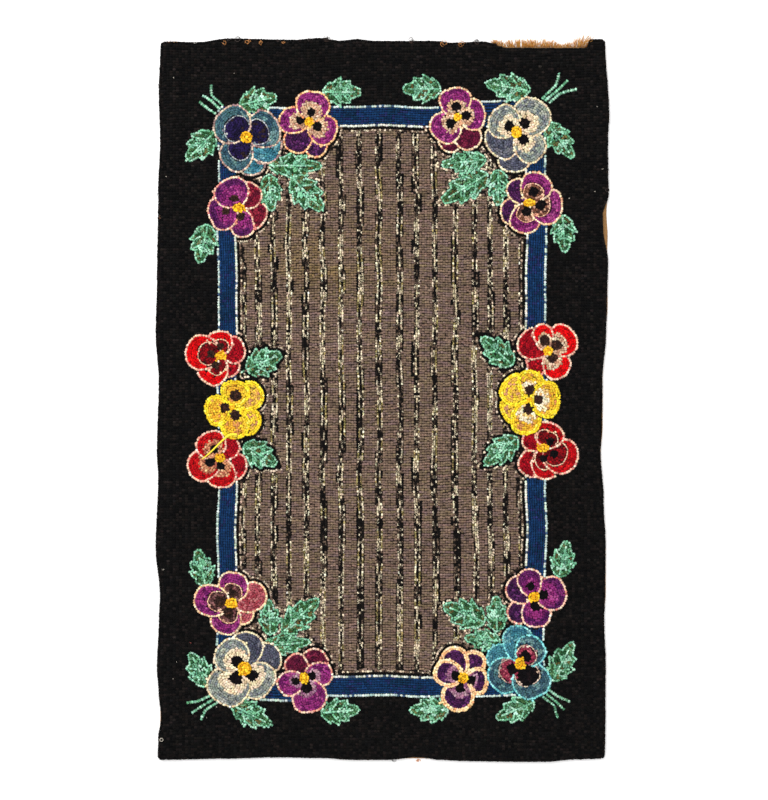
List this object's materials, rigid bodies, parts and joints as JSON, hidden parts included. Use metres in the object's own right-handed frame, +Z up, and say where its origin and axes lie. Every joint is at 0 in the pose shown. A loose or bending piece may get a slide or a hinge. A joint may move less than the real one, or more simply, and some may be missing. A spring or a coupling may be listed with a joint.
{
  "type": "hooked rug",
  "caption": "Flat hooked rug: looped wool pile on a hemmed burlap foundation, with pansy and leaf borders round a striped field, a worn frayed edge and one loose yarn end.",
  "frame": {"origin": "on the underside, at the middle of the rug's box", "axes": "+Z up out of the pile; +Y along the rug's length towards the end with the frayed hem; +X across it"},
  "size_m": [0.7208, 1.15, 0.0088],
  "materials": {
    "burlap": "rough natural plain weave",
    "wool_loops": "matte looped wool, mostly black, with coloured pansies, leaves and a striped field",
    "raw_burlap_threads": "dry unravelled threads",
    "yellow_yarn": "matte wool yarn"
  },
  "bodies": {
    "root": {"foundation": "burlap", "hooked_pile": "wool_loops", "frayed_edge": "raw_burlap_threads", "yarn_tail": "yellow_yarn"}
  },
  "joints": []
}
